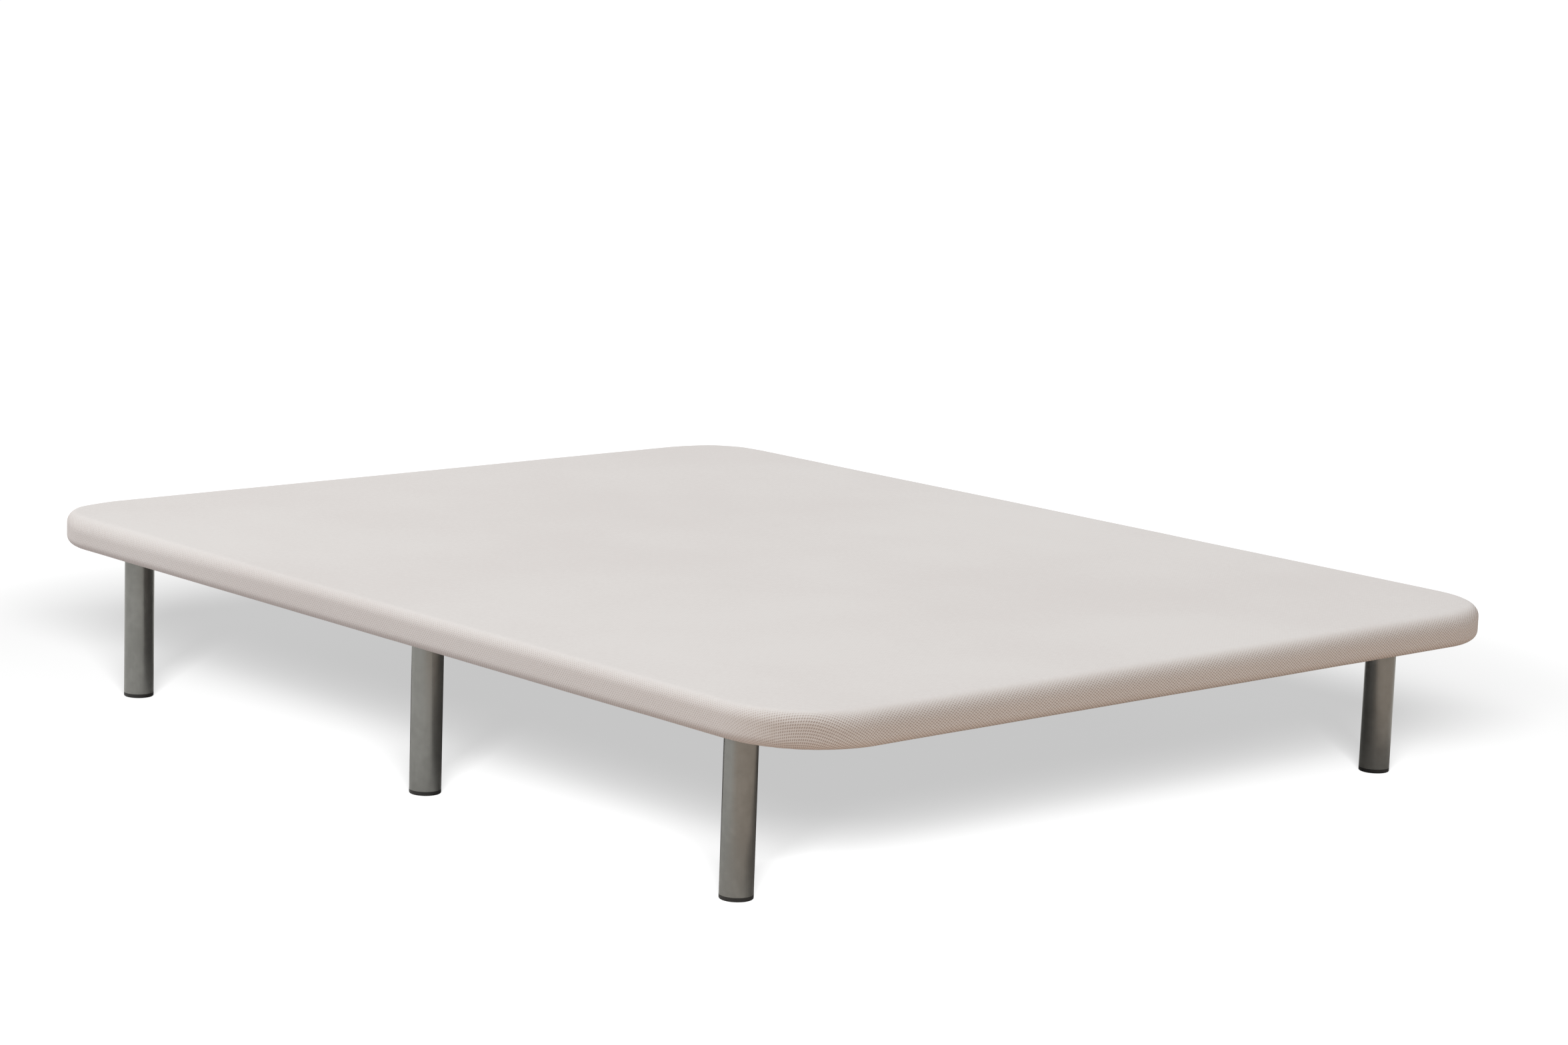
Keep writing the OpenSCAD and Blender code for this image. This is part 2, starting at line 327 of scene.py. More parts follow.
def softwood(name, along):
    """Planed softwood whose grain runs along one axis, 0 for X and 1 for Y."""
    material, tree, shader = new_material(name)
    scale = [1.0, 1.0, 1.0]
    scale[along] = 0.05
    place = tree.stretch(place_on_object(tree), tuple(scale))
    rings = tree.add("ShaderNodeTexWave", {"Vector": place, "Scale": 45.0, "Distortion": 5.0, "Detail": 3.0},
                     bands_direction="Z").outputs["Fac"]
    base, value = mottle(tree, place, 30.0, 900.0, rgb(205, 170, 122), rgb(222, 190, 144))
    tree.tree.links.new(tree.mix(tree.math("MULTIPLY", rings, 0.5), base, rgb(180, 138, 90)),
                        shader.inputs["Base Color"])
    tree.tree.links.new(tree.bump(value, 0.1 * MM, 0.4), shader.inputs["Normal"])
    shader.inputs["Roughness"].default_value = 0.7
    return material


def powder_coat():
    material, tree, shader = new_material("powder_coat")
    place = place_on_object(tree)
    colour, _ = mottle(tree, place, 12.0, 700.0, rgb(66, 68, 70), rgb(78, 80, 82))
    tree.tree.links.new(colour, shader.inputs["Base Color"])
    peel = tree.noise(place, 1400.0, 1.0)
    tree.tree.links.new(tree.bump(peel, 0.05 * MM, 0.6), shader.inputs["Normal"])
    tree.tree.links.new(tree.span(peel, 0.3, 0.7, 0.38, 0.5), shader.inputs["Roughness"])
    return material


def leg_paint():
    """Satin metallic paint with fine flakes and faint marks that run along the tube."""
    material, tree, shader = new_material("leg_paint")
    place = place_on_object(tree)
    streaks = tree.noise(tree.stretch(place, (1.0, 1.0, 0.03)), 500.0, 3.0)
    flakes = tree.add("ShaderNodeTexVoronoi", {"Vector": place, "Scale": 5200.0}).outputs["Color"]
    flake = tree.add("ShaderNodeSeparateColor", {0: flakes}).outputs[0]
    colour, value = mottle(tree, place, 14.0, 90.0, rgb(143, 144, 141), rgb(155, 156, 153))
    shade = tree.span(streaks, 0.3, 0.7, 0.975, 1.02)
    glint = tree.span(flake, 0.0, 1.0, 0.95, 1.05)
    both = tree.math("MULTIPLY", shade, glint)
    lit = tree.add("ShaderNodeVectorMath", {0: colour, "Scale": both}, operation="SCALE").outputs[0]
    tree.tree.links.new(lit, shader.inputs["Base Color"])
    rough = tree.math("ADD", tree.span(streaks, 0.3, 0.7, 0.19, 0.22), tree.math("MULTIPLY", value, 0.03))
    tree.tree.links.new(rough, shader.inputs["Roughness"])
    tree.tree.links.new(tree.bump(streaks, 0.01 * MM, 0.4), shader.inputs["Normal"])
    shader.inputs["Metallic"].default_value = 0.75
    return material


def moulded_plastic():
    material, tree, shader = new_material("moulded_plastic")
    place = place_on_object(tree)
    colour, value = mottle(tree, place, 60.0, 900.0, rgb(34, 33, 32), rgb(44, 43, 41))
    tree.tree.links.new(colour, shader.inputs["Base Color"])
    spark = tree.noise(place, 3200.0, 1.0)
    tree.tree.links.new(tree.bump(spark, 0.04 * MM, 0.6), shader.inputs["Normal"])
    tree.tree.links.new(tree.span(value, 0.0, 1.0, 0.45, 0.58), shader.inputs["Roughness"])
    return material


def zinc_plate():
    material, tree, shader = new_material("zinc_plate")
    place = place_on_object(tree)
    colour, value = mottle(tree, place, 120.0, 900.0, rgb(186, 188, 184), rgb(208, 208, 200))
    tree.tree.links.new(colour, shader.inputs["Base Color"])
    tree.tree.links.new(tree.span(value, 0.0, 1.0, 0.25, 0.4), shader.inputs["Roughness"])
    tree.tree.links.new(tree.bump(value, 0.02 * MM, 0.5), shader.inputs["Normal"])
    shader.inputs["Metallic"].default_value = 1.0
    return material


# ---------------------------------------------------------------- cloth and foam laid over the base

SIDE_STEP = 16 * MM
CORNER_STEPS = 96
FLAT_STEPS = 10
SAME_PLACE = 1e-6


def arc(centre_x, centre_z, radius, start, stop, steps):
    """Points of an arc after its first, angles in degrees from +X towards +Z."""
    angles = [math.radians(start + (stop - start) * k / steps) for k in range(1, steps + 1)]
    return [(centre_x + radius * math.cos(a), centre_z + radius * math.sin(a)) for a in angles]


def line(start, stop, steps):
    return [(start[0] + (stop[0] - start[0]) * k / steps, start[1] + (stop[1] - start[1]) * k / steps)
            for k in range(1, steps + 1)]


def edge_section(inset, low_z, top_z, top_r, low_r, return_w):
    """Outline across the base's edge, from a corner's centre out over the edge and back underneath."""
    outer = CORNER_R - inset
    points = [(0.0, top_z)]
    points += line(points[0], (outer - top_r, top_z), FLAT_STEPS)
    points += arc(outer - top_r, top_z - top_r, top_r, 90, 0, 10)
    points += line(points[-1], (outer, low_z + low_r), 6)
    points += arc(outer - low_r, low_z + low_r, low_r, 0, -90, 8)
    points += line(points[-1], (CORNER_R - return_w, low_z), 8)
    apart = [after for before, after in zip(points, points[1:]) if math.dist(before, after) > SAME_PLACE]
    return [points[0]] + apart


def stations():
    """Places around the base, anticlockwise: point on the core rectangle, way out and turn in a corner."""
    around = []
    steps_l = round(CORE_L / SIDE_STEP)
    steps_w = round(CORE_W / SIDE_STEP)
    for k, (side_x, side_y) in enumerate([(1, 1), (-1, 1), (-1, -1), (1, -1)]):
        corner = Vector((side_x * CORE_L / 2, side_y * CORE_W / 2, 0))
        for j in range(CORNER_STEPS + 1):
            angle = math.radians(90 * (k + j / CORNER_STEPS))
            around.append((corner, Vector((math.cos(angle), math.sin(angle), 0)), j / CORNER_STEPS))
        out = around[-1][1]
        along = Vector((-out.y, out.x, 0))
        steps, length = (steps_l, CORE_L) if k % 2 == 0 else (steps_w, CORE_W)
        for j in range(1, steps):
            around.append((corner + along * length * j / steps, out, None))
    return around


class Cloth:
    """A mesh made of points that each keep their place on the flat cloth; points that meet there are one."""

    def __init__(self):
        self.keys = {}
        self.places = []
        self.weave = []
        self.side = []
        self.across = []
        self.faces = []

    def vertex(self, place, flat, weave=None, side=0.0, across=0.0):
        """Adds a point: weave is its place in the pattern, where a pull has moved that off the flat place."""
        key = (round(flat.x, 5), round(flat.y, 5))
        if key not in self.keys:
            self.keys[key] = len(self.places)
            self.places.append(place)
            self.weave.append((weave or flat).xy)
            self.side.append(side)
            self.across.append(across)
        return self.keys[key]

    def face(self, *corners):
        different = list(dict.fromkeys(corners))
        if len(different) > 2:
            self.faces.append(different)

    def build(self, name):
        mesh = bpy.data.meshes.new(name)
        mesh.from_pydata([tuple(p) for p in self.places], [], self.faces)
        uv = mesh.uv_layers.new(name="cloth")
        for loop in mesh.loops:
            uv.data[loop.index].uv = self.weave[loop.vertex_index]
        for attribute, values in (("side", self.side), ("across", self.across)):
            mesh.attributes.new(attribute, "FLOAT", "POINT").data.foreach_set("value", values)
        mesh.polygons.foreach_set("use_smooth", [True] * len(mesh.polygons))
        return add_object(name, mesh)


def smooth(value, low, high):
    """Smooth step from 0 at low to 1 at high."""
    share = min(max((value - low) / (high - low), 0.0), 1.0)
    return share * share * (3 - 2 * share)


# How far the long sides' edge turns soft towards the head, where the two ends' edge is fully soft
SIDE_SOFTNESS = 0.6


def blended(tight, soft, foot, out):
    """The section at a station: soft on the ends, partly soft on the sides' head half, tight elsewhere."""
    on_end = smooth(abs(out.x), 0.75, 1.0)
    on_head_half = smooth(-foot.x, 0.1, 0.7) * smooth(abs(out.y), 0.9, 1.0)
    share = on_end + SIDE_SOFTNESS * on_head_half
    return [(a[0] + (b[0] - a[0]) * share, a[1] + (b[1] - a[1]) * share) for a, b in zip(tight, soft)]


# The weave is drawn in and stretched over spans of the distance from a corner's centre along the cloth
WEAVE_DRAW = 30 * MM
WEAVE_STRETCH = 0.28
DRAW_SPAN = (40 * MM, 135 * MM)
STRETCH_SPAN = (60 * MM, 133 * MM)
STRETCH_CENTRE = 175 * MM


def drawn_weave(foot, out, distance):
    """Place in the weave of a cloth pulled down over the corners, which also draws it in from both ends."""
    end_share = abs(out.x)
    turned = math.asin(min(end_share, 1.0)) / (math.pi / 2)
    draw = WEAVE_DRAW * end_share * smooth(distance, *DRAW_SPAN)
    stretch = WEAVE_STRETCH * math.sin(math.pi * turned ** 1.7) ** 2 * smooth(distance, *STRETCH_SPAN)
    draw += stretch * (distance - STRETCH_CENTRE)
    return foot + out * distance - Vector((0, draw * foot.y / (CORE_W / 2), 0))


def lay_over(tight, soft, relief=None, weave=None):
    """Cloth over the core rectangle and around the edge, following a section between a tight and a soft one.

    relief(flat, distance, turn) lifts it off the section; weave(foot, out, distance) places its pattern."""
    cloth = Cloth()

    def station(foot, out, turn):
        section = blended(tight, soft, foot, out)
        distance = 0.0
        row = []
        for k, (x, z) in enumerate(section):
            before, after = section[max(k - 1, 0)], section[min(k + 1, len(section) - 1)]
            distance += math.dist(section[k - 1], section[k]) if k else 0.0
            length = math.dist(before, after)
            normal = ((before[1] - after[1]) / length, (after[0] - before[0]) / length)
            flat = foot + out * distance
            lift = relief(flat, distance, turn) if relief else 0.0
            place = foot + out * (x + normal[0] * lift) + Vector((0, 0, z + normal[1] * lift))
            pattern = weave(foot, out, distance) if weave else flat
            # How far the cloth faces sideways, and 1 on its underside: it sets how much painted shade the
            # cover's holes get
            side = normal[0] if normal[1] > 0 else 1.0
            row.append(cloth.vertex(place, flat, pattern, side, out.y ** 2))
        return row, distance

    rows, reaches = zip(*[station(*place) for place in stations()])
    for row, after in zip(rows, rows[1:] + rows[:1]):
        for k in range(len(tight) - 1):
            cloth.face(row[k], row[k + 1], after[k + 1], after[k])
    top = tight[0][1]
    steps_l = round(CORE_L / SIDE_STEP)
    steps_w = round(CORE_W / SIDE_STEP)

    def inner(i, j):
        foot = Vector((CORE_L * (i / steps_l - 0.5), CORE_W * (j / steps_w - 0.5), 0))
        lift = relief(foot, 0.0, None) if relief else 0.0
        return cloth.vertex(foot + Vector((0, 0, top + lift)), foot)

    grid = [[inner(i, j) for j in range(steps_w + 1)] for i in range(steps_l + 1)]
    for column, after in zip(grid, grid[1:]):
        for j in range(steps_w):
            cloth.face(column[j], after[j], after[j + 1], column[j + 1])
    return cloth, max(reaches)


def thicken(piece, thickness):
    """Gives a cloth its thickness, inwards from the modelled face."""
    solid = piece.modifiers.new("thickness", "SOLIDIFY")
    solid.thickness = thickness
    solid.offset = -1.0


# Pleats in each corner, which start a little way in under the base and fade out before the lining's edge
PLEATS = 9
PLEAT_LIFT = 1.1 * MM
UNDER_START = 45 * MM
PLEAT_RISE = 16 * MM
PLEAT_FADE = (22 * MM, 32 * MM)
CREASE_HALF = 2 * MM
# Small creases at the foot end's right corner: turn in the corner, start and end along the section, depth
CREASES = [(0.36, 163 * MM, 190 * MM, 0.9 * MM), (0.425, 178 * MM, 196 * MM, 0.7 * MM),
           (0.47, 184 * MM, 198 * MM, 0.5 * MM)]


def cover_relief(flat, distance, turn):
    """Soft unevenness of stretched cloth over foam, and pleats where it gathers under the corners."""
    place = Vector((flat.x, flat.y, 0))
    lift = 0.25 * MM * noise.noise(place * 5) + 0.12 * MM * noise.noise(place * 22 + Vector((7, 3, 0)))
    for at, start, end, depth in CREASES:
        if turn is not None and flat.x > CORE_L / 2 and flat.y < -CORE_W / 2:
            aside = (turn - at) * CORNER_R * math.pi / 2
            run = smooth(distance, start, start + 10 * MM) - smooth(distance, end - 3 * MM, end)
            lift -= depth * run * math.exp(-(aside / CREASE_HALF) ** 2)
    under = distance - (CORNER_R + UNDER_START)
    if under > 0:
        lift += 0.35 * MM * noise.noise(place * 30) * min(under / (20 * MM), 1.0)
        if turn is not None:
            fade_start, fade_end = PLEAT_FADE
            gather = smooth(under, 0.0, PLEAT_RISE) * smooth(-under, -fade_end, -fade_start)
            gather *= math.sin(math.pi * turn)
            lift += PLEAT_LIFT * gather * abs(math.sin(math.pi * PLEATS * turn))
    return lift


def make_cover():
    tight = edge_section(0.0, COVER_Z, TOP_Z, TOP_EDGE_R, RING_IN, RETURN_W)
    soft = edge_section(0.0, COVER_Z, TOP_Z, SOFT_EDGE_R, RING_IN, RETURN_W)
    cloth, reach = lay_over(tight, soft, cover_relief, drawn_weave)
    piece = cloth.build("cover_cloth")
    piece.data.materials.append(spacer_mesh())
    thicken(piece, COVER_T)
    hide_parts("cover")
    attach(piece, "platform")


# Gap that keeps the foam's faces off the cover's
FOAM_PLAY = 0.15 * MM


def foam_sections(edge_r):
    """Sections of the foam sheet on the board and of the foam band around the frame, for one edge radius."""
    board_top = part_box("board")[1].z
    inset = COVER_T + FOAM_PLAY
    outer = CORNER_R - inset
    ring = CORNER_R - RING_IN
    top = TOP_Z - inset
    radius = edge_r - inset
    # The sheet's rounded edge ends at the plane of the board's top, where the band goes on
    lowest = math.degrees(math.asin((board_top - top + radius) / radius))
    sheet = [(0.0, top)]
    sheet += line(sheet[0], (outer - radius, top), FLAT_STEPS)
    sheet += arc(outer - radius, top - radius, radius, 90, lowest, 6)
    band = [sheet[-1]]
    sheet += line(sheet[-1], (ring, board_top), 3)
    band_low = FOAM_LOW.z
    low_r = RING_IN - inset
    band += arc(outer - radius, top - radius, radius, lowest, 0, 6)
    band += line(band[-1], (outer, band_low + low_r), 4)
    band += arc(ring, band_low + low_r, low_r, 0, -90, 8)
    band += line(band[-1], (ring, board_top), 4)
    return sheet, band


def make_foam():
    """The foam sheet on the board and the foam band around the frame, both hidden by the cover."""
    tight_sheet, tight_band = foam_sections(TOP_EDGE_R)
    soft_sheet, soft_band = foam_sections(SOFT_EDGE_R)
    material = open_foam()
    for piece, node in ((foam_sheet("top_foam_pad", tight_sheet, soft_sheet), "top_foam"),
                        (foam_band("side_foam_band", tight_band, soft_band), "side_foam")):
        piece.data.materials.append(material)
        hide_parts(node)
        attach(piece, "platform")


def foam_sheet(name, tight, soft):
    """A sheet with a rounded edge, closed underneath by one flat face."""
    cloth, _ = lay_over(tight, soft)
    piece = cloth.build(name)
    bm = bmesh.new()
    bm.from_mesh(piece.data)
    bmesh.ops.contextual_create(bm, geom=[edge for edge in bm.edges if edge.is_boundary])
    bmesh.ops.recalc_face_normals(bm, faces=bm.faces)
    bm.to_mesh(piece.data)
    bm.free()
    return piece


def foam_band(name, tight, soft):
    """A closed band: its section swept once around the base."""
    around = stations()
    places = [foot + out * x + Vector((0, 0, z))
              for foot, out, _ in around for x, z in blended(tight, soft, foot, out)]
    count = len(tight)
    faces = []
    for i in range(len(around)):
        j = (i + 1) % len(around)
        for k in range(count):
            m = (k + 1) % count
            faces.append((i * count + k, i * count + m, j * count + m, j * count + k))
    mesh = bpy.data.meshes.new(name)
    mesh.from_pydata(places, [], faces)
    mesh.polygons.foreach_set("use_smooth", [True] * len(faces))
    return add_object(name, mesh)


# ---------------------------------------------------------------- lining and staples under the base

HEM_W = 18 * MM
HEM_R = 0.55 * MM
LINING_SAG = 3 * MM
STAPLE_IN = 48 * MM
STAPLE_STEP = 45 * MM
# The lining starts to hang this far inside the outline
HANG_IN = STAPLE_IN + 15 * MM
# Radius of the lining's bolt holes, as a share of half the bolt head's width across its flats
BOLT_HOLE_SHARE = 0.62
BOLT_HOLE_SIDES = 24


def made_plain(piece):
    """The piece with its modifiers applied, as a plain mesh under the same name."""
    name = piece.name
    evaluated = piece.evaluated_get(bpy.context.evaluated_depsgraph_get())
    mesh = bpy.data.meshes.new_from_object(evaluated, preserve_all_data_layers=True,
                                           depsgraph=bpy.context.evaluated_depsgraph_get())
    bpy.data.objects.remove(piece)
    plain = add_object(name, mesh)
    plain.name = name
    return plain


CROSS_TUBES = [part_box(f"cross_tube_{i}") for i in range(1, 6)]
HANG_L = CORE_L / 2 + CORNER_R - HANG_IN
HANG_W = CORE_W / 2 + CORNER_R - HANG_IN
BAYS = [-HANG_L] + [corner.x for tube in CROSS_TUBES for corner in tube] + [HANG_L]


def lining_relief(flat, distance, turn):
    """The lining hangs a little between the steel tubes and lies flat against them."""
    if abs(flat.y) >= HANG_W or distance > CORNER_R - HANG_IN:
        return 0.0
    across = math.cos(math.pi / 2 * flat.y / HANG_W) ** 0.5
    for low, high in zip(BAYS[::2], BAYS[1::2]):
        if low < flat.x < high:
            along = math.sin(math.pi * (flat.x - low) / (high - low))
            ripple = 1 + 0.4 * noise.noise(Vector((flat.x * 6, flat.y * 6, 2)))
            return -LINING_SAG * across * along ** 2 * ripple
    return 0.0


def bolt_hole_punch(low_z, high_z):
    """One round plug for each leg bolt, from low_z to high_z, to cut the lining with."""
    sides = BOLT_HOLE_SIDES
    places, faces = [], []
    for leg in LEGS:
        centre = middle("leg_tube_" + leg)
        low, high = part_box("leg_bolt_" + leg)
        radius = BOLT_HOLE_SHARE * (high.y - low.y) / 2
        start = len(places)
        for z in (low_z, high_z):
            for angle in (2 * math.pi * j / sides for j in range(sides)):
                places.append((centre.x + radius * math.cos(angle), centre.y + radius * math.sin(angle), z))
        for j in range(sides):
            k = (j + 1) % sides
            faces.append((start + j, start + k, start + sides + k, start + sides + j))
        faces.append(tuple(start + j for j in reversed(range(sides))))
        faces.append(tuple(start + sides + j for j in range(sides)))
    mesh = bpy.data.meshes.new("bolt_holes")
    mesh.from_pydata(places, [], faces)
    return add_object("bolt_holes", mesh)


def make_lining():
    """Black lining with a folded hem and a hole for each leg bolt."""
    top_z = LINING_HIGH.z
    section = edge_section(LINING_IN, top_z - 2 * HEM_R, top_z, HEM_R, HEM_R, LINING_IN + HEM_W)
    cloth, reach = lay_over(section, section, lining_relief)
    piece = cloth.build("lining_cloth")
    piece.data.materials.append(bonded_lining())
    thicken(piece, LINING_T)
    punch = bolt_hole_punch(top_z - 10 * MM, top_z + 10 * MM)
    cut = piece.modifiers.new("bolt_holes", "BOOLEAN")
    cut.object = punch
    cut.solver = "EXACT"
    piece = made_plain(piece)
    bpy.data.objects.remove(punch)
    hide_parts("lining")
    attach(piece, "platform")


def staple_tree():
    """Geometry nodes: wire staples set at even steps along a curve, each turned a little."""
    group = bpy.data.node_groups.new("staple_row", "GeometryNodeTree")
    for name, kind, direction in (("Geometry", "Geometry", "INPUT"), ("Step", "Float", "INPUT"),
                                  ("Crown", "Float", "INPUT"), ("Wire", "Float", "INPUT"),
                                  ("Leg", "Float", "INPUT"), ("Turn", "Float", "INPUT"),
                                  ("Seed", "Int", "INPUT"), ("Material", "Material", "INPUT"),
                                  ("Geometry", "Geometry", "OUTPUT")):
        group.interface.new_socket(name, in_out=direction, socket_type="NodeSocket" + kind)
    tree = Tree(group)
    given = tree.add("NodeGroupInput").outputs
    points = tree.add("GeometryNodeCurveToPoints", {"Curve": given["Geometry"], "Length": given["Step"]},
                      mode="LENGTH")
    parts = []
    half = tree.math("MULTIPLY", given["Crown"], 0.5)
    for size, place in ((("Crown", "Wire"), 0.0), (("Wire", "Leg"), 1.0), (("Wire", "Leg"), -1.0)):
        extent = tree.add("ShaderNodeCombineXYZ", {0: given[size[0]], 1: given["Wire"], 2: given[size[1]]})
        cube = tree.add("GeometryNodeMeshCube", {"Size": extent.outputs[0]})
        shift_x = tree.math("MULTIPLY", half, place)
        shift_z = tree.math("MULTIPLY", given["Leg"], 0.5 * abs(place))
        shift = tree.add("ShaderNodeCombineXYZ", {0: shift_x, 1: 0.0, 2: shift_z})
        moved = tree.add("GeometryNodeTransform",
                         {"Geometry": cube.outputs["Mesh"], "Translation": shift.outputs[0]})
        parts.append(moved.outputs[0])
    staple = tree.add("GeometryNodeJoinGeometry")
    for part in parts:
        group.links.new(part, staple.inputs[0])
    facing = tree.add("FunctionNodeAlignRotationToVector", {"Vector": points.outputs["Tangent"]},
                      axis="X", pivot_axis="Z")
    low = tree.math("MULTIPLY", given["Turn"], -1.0)
    turn = tree.add("FunctionNodeRandomValue", {"Min": low, "Max": given["Turn"], "Seed": given["Seed"]},
                    data_type="FLOAT")
    angle = next(s for s in turn.outputs if s.enabled)
    spin = tree.add("ShaderNodeCombineXYZ", {0: 0.0, 1: 0.0, 2: angle})
    rotation = tree.add("FunctionNodeRotateRotation",
                        {"Rotation": facing.outputs[0], "Rotate By": spin.outputs[0]}, rotation_space="LOCAL")
    copies = tree.add("GeometryNodeInstanceOnPoints",
                      {"Points": points.outputs["Points"], "Instance": staple.outputs[0],
                       "Rotation": rotation.outputs[0]})
    real = tree.add("GeometryNodeRealizeInstances", {"Geometry": copies.outputs[0]})
    finished = tree.add("GeometryNodeSetMaterial",
                        {"Geometry": real.outputs[0], "Material": given["Material"]})
    tree.add("NodeGroupOutput", {"Geometry": finished.outputs[0]})
    return group


def make_staples(zinc):
    """One row of staples through the lining's hem into the battens and the corner blocks."""
    curve = bpy.data.curves.new("staples", "CURVE")
    curve.dimensions = "3D"
    around = stations()
    spline = curve.splines.new("POLY")
    spline.points.add(len(around) - 1)
    spline.use_cyclic_u = True
    radius = CORNER_R - STAPLE_IN
    crown_z = LINING_HIGH.z - 2 * HEM_R - 0.2 * MM
    for point, (foot, out, _) in zip(spline.points, around):
        place = foot + out * radius
        point.co = (place.x, place.y, crown_z, 1.0)
    piece = add_object("staples", curve)
    modifier = piece.modifiers.new("staples", "NODES")
    modifier.node_group = staple_tree()
    values = {"Step": STAPLE_STEP, "Crown": 11 * MM, "Wire": 0.9 * MM, "Leg": 2.5 * MM,
              "Turn": math.radians(7), "Seed": 4, "Material": zinc}
    for item in modifier.node_group.interface.items_tree:
        if item.in_out == "INPUT" and item.name in values:
            modifier[item.identifier] = values[item.name]
    piece = made_plain(piece)
    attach(piece, "platform")


# ---------------------------------------------------------------- finishes of the frame's own pieces

def finish_nodes(zinc):
    """Gives each rigid piece of the frame the material of its slot."""
    finishes = {"board": particle_board(), "frame_paint": powder_coat(), "leg_paint": leg_paint(),
                "black_plastic": moulded_plastic(), "zinc": zinc}
    along_x = softwood("softwood_along", 0)
    along_y = softwood("softwood_across", 1)
    slots = {part["node"]: part["material_slot"] for part in frame["record"]["subparts"]}
    for name, piece in frame["nodes"].items():
        slot = slots[name]
        if slot == "batten":
            material = along_x if name.startswith("side") else along_y
        elif slot in finishes:
            material = finishes[slot]
        else:
            continue
        piece.data.materials.clear()
        piece.data.materials.append(material)


# ---------------------------------------------------------------- studio

AMBIENT = 0.45
FLOOR_HALF = 40.0
# The seen floor glows at SHADE near the base, and outside the shadow its lamp adds the rest up to white.
# Across SHADE_SPAN the glow itself rises to white, a painted light that fades the shadow out in a circle
# round the base
SHADE = 0.563
SHADE_SPAN = (1.45, 2.3)
SHADOW_GAIN = 0.05
FULL_WHITE = 1.05
# Pale and brown tones of the floor that lights the base, and the lighter tones painted on the same floor for
# gloss alone: a painted reflection
BOUNCE_PALE = (0.56, 0.51, 0.50, 1)
BOUNCE_BROWN = (0.52, 0.37, 0.27, 1)
PAINTED_REFLECTION_PALE = (0.77, 0.76, 0.73, 1)
PAINTED_REFLECTION_BROWN = (0.66, 0.56, 0.48, 1)


def flat_stage(name, z, base_colour):
    """A wide level plane with a plain matt material: (object, shader tree, shader)."""
    mesh = bpy.data.meshes.new(name)
    corners = [(x * FLOOR_HALF, y * FLOOR_HALF, z) for x, y in ((-1, -1), (1, -1), (1, 1), (-1, 1))]
    mesh.from_pydata(corners, [], [(0, 1, 2, 3)])
    plane = add_object(name, mesh)
    material, tree, shader = new_material(name)
    shader.inputs["Base Color"].default_value = base_colour
    shader.inputs["Roughness"].default_value = 0.9
    shader.inputs["Specular IOR Level"].default_value = 0.0
    mesh.materials.append(material)
    return plane, tree, shader


def make_floor():
    """The seen floor: white, with the soft shadow, and clear from below; its glow is painted lighter away
    from the base.

    Under it lies a floor that the camera doesn't see, which lights the base: pale, turning brown beyond the
    foot end. In the base's gloss it shows lighter tones of its own, a painted reflection."""
    seen, tree, shader = flat_stage("floor", 0.0, (SHADOW_GAIN, SHADOW_GAIN, SHADOW_GAIN, 1))
    shader.inputs["Emission Color"].default_value = (1, 1, 1, 1)
    away = tree.add("ShaderNodeVectorMath", {0: place_on_object(tree)}, operation="LENGTH").outputs["Value"]
    # Painted light: the glow rises from SHADE to white with the distance from the base
    tree.tree.links.new(tree.span(away, *SHADE_SPAN, SHADE, 1.0), shader.inputs["Emission Strength"])
    clear = tree.add("ShaderNodeBsdfTransparent").outputs[0]
    below = tree.add("ShaderNodeNewGeometry").outputs["Backfacing"]
    surface = tree.add("ShaderNodeMixShader", {0: below, 1: shader.outputs[0], 2: clear}).outputs[0]
    tree.tree.links.new(surface, tree.tree.nodes["Material Output"].inputs["Surface"])
    for ray in ("diffuse", "glossy", "transmission", "volume_scatter", "shadow"):
        setattr(seen, "visible_" + ray, False)
    bounce, tree, shader = flat_stage("floor_bounce", -0.1 * MM, (1, 1, 1, 1))
    bounce.visible_camera = False
    parts = tree.add("ShaderNodeSeparateXYZ", {0: place_on_object(tree)}).outputs
    brown = tree.span(parts["X"], COVER_HIGH.x - 0.5, COVER_HIGH.x + 0.3)
    lighting = tree.mix(brown, BOUNCE_PALE, BOUNCE_BROWN)
    # Painted reflection: gloss alone sees these lighter tones on the hidden floor
    mirrored = tree.mix(brown, PAINTED_REFLECTION_PALE, PAINTED_REFLECTION_BROWN)
    glossy = tree.add("ShaderNodeLightPath").outputs["Is Glossy Ray"]
    tree.tree.links.new(tree.mix(glossy, lighting, mirrored), shader.inputs["Base Color"])
    return seen


def light_world():
    world = bpy.data.worlds.new("studio")
    bpy.context.scene.world = world
    world.use_nodes = True
    tree = Tree(world.node_tree)
    path = tree.add("ShaderNodeLightPath").outputs
    seen = tree.math("MAXIMUM", path["Is Camera Ray"],
                     tree.math("MAXIMUM", path["Is Glossy Ray"], path["Is Transmission Ray"]))
    back = world.node_tree.nodes["Background"]
    back.inputs["Color"].default_value = (1, 1, 1, 1)
    tree.tree.links.new(tree.span(seen, 0.0, 1.0, AMBIENT, 1.0), back.inputs["Strength"])


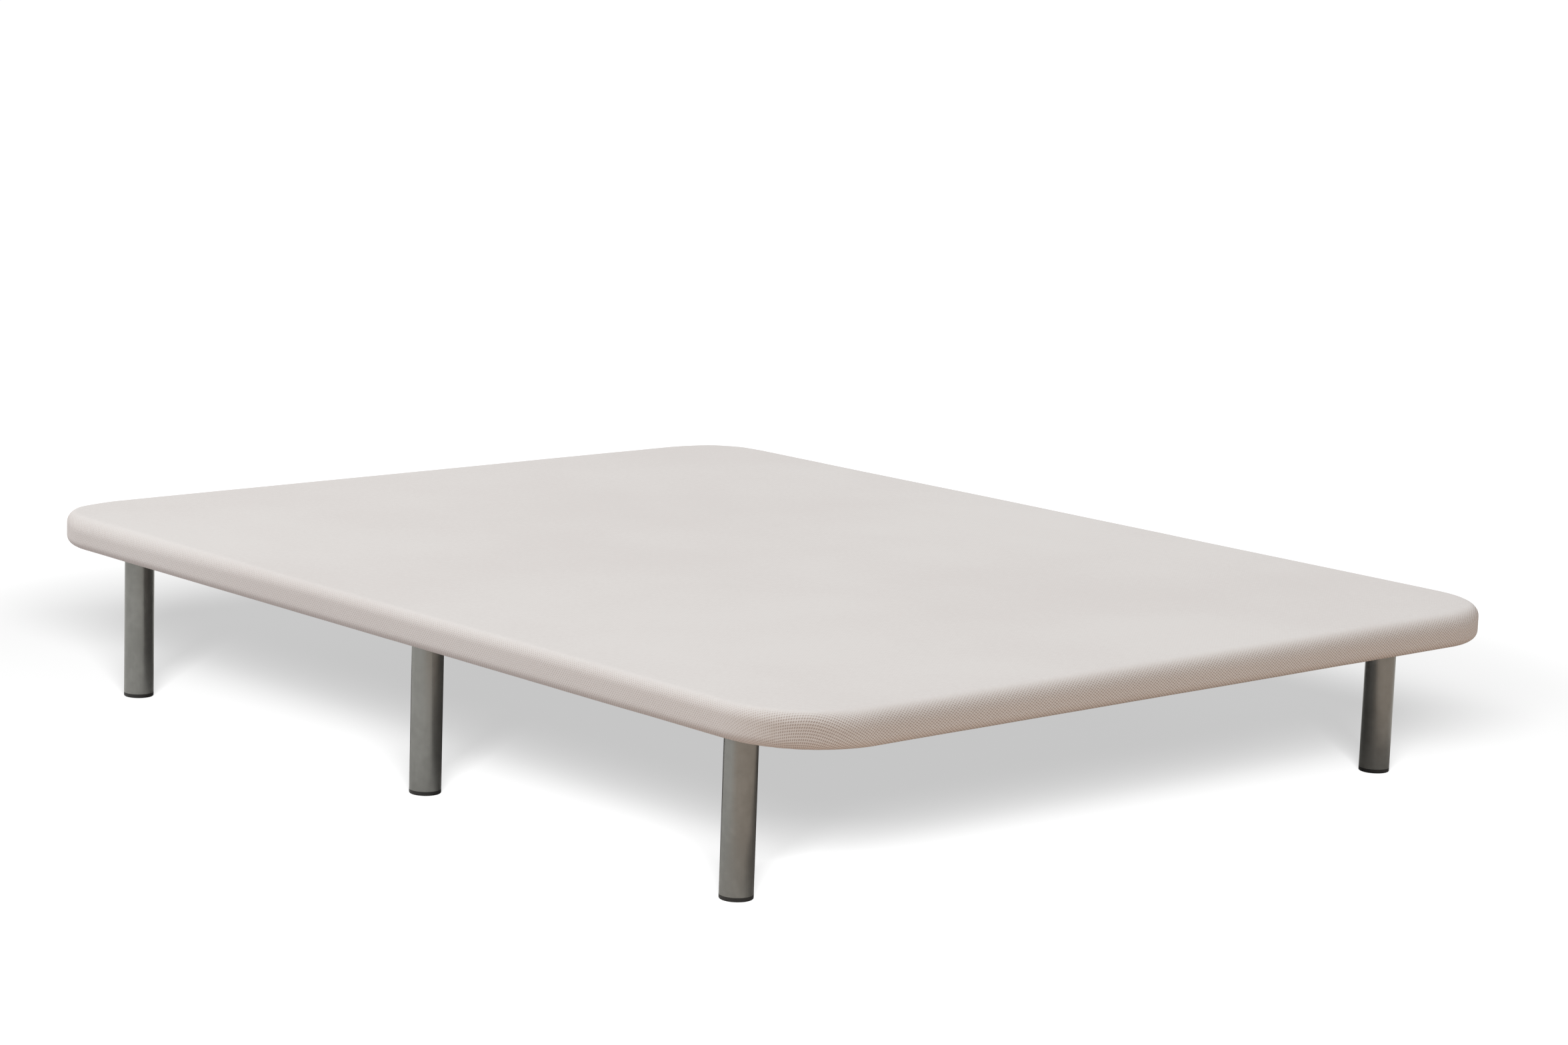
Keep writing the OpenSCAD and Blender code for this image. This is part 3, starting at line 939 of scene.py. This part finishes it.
def add_lamp(name, azimuth, elevation, distance, size, level, colour=(1, 1, 1), mirrored=True):
    """A soft lamp facing the base, size wide and high; level is what it gives a white surface facing it."""
    turn, rise = math.radians(azimuth), math.radians(elevation)
    away = Vector((math.sin(turn) * math.cos(rise), -math.cos(turn) * math.cos(rise), math.sin(rise)))
    data = bpy.data.lights.new(name, "AREA")
    data.shape = "RECTANGLE"
    data.size, data.size_y = size
    data.energy = level * (math.pi * distance) ** 2
    data.color = colour
    lamp = add_object(name, data)
    lamp.location = away * distance
    lamp.rotation_euler = away.to_track_quat("Z", "Y").to_euler()
    lamp.visible_glossy = mirrored
    return lamp


def link_lamp(lamp, floor, state):
    """Lets a lamp light only the floor (INCLUDE) or everything but the floor (EXCLUDE)."""
    group = bpy.data.collections.new(lamp.name + "_receivers")
    group.objects.link(floor)
    group.collection_objects[0].light_linking.link_state = state
    lamp.light_linking.receiver_collection = group


# Lamps: azimuth and elevation in degrees, distance, width and height, and level on a white surface
KEY_LAMP = (-34, 58, 20.0, (10.0, 10.0), 0.61)
END_LAMP = (82, 4, 8.0, (4.0, 2.0), 0.18)
END_LAMP_COLOUR = (1, 0.93, 0.85)
SHADOW_RISE = 26.5
SHADOW_LEVEL = (FULL_WHITE - SHADE) / SHADOW_GAIN / math.sin(math.radians(SHADOW_RISE))
SHADOW_LAMP = (47.6, SHADOW_RISE, 7.8, (3.7, 1.7), SHADOW_LEVEL)


def light_studio():
    """Key lamp and end lamp light all but the seen floor, and the shadow lamp lights only that floor."""
    light_world()
    seen = make_floor()
    link_lamp(add_lamp("key_lamp", *KEY_LAMP), seen, "EXCLUDE")
    link_lamp(add_lamp("end_lamp", *END_LAMP, END_LAMP_COLOUR, mirrored=False), seen, "EXCLUDE")
    link_lamp(add_lamp("shadow_lamp", *SHADOW_LAMP), seen, "INCLUDE")
    bpy.context.scene.view_settings.view_transform = "Standard"


# ---------------------------------------------------------------- the scene

place_camera()
ZINC = zinc_plate()
finish_nodes(ZINC)
make_foam()
make_cover()
make_lining()
make_staples(ZINC)
light_studio()
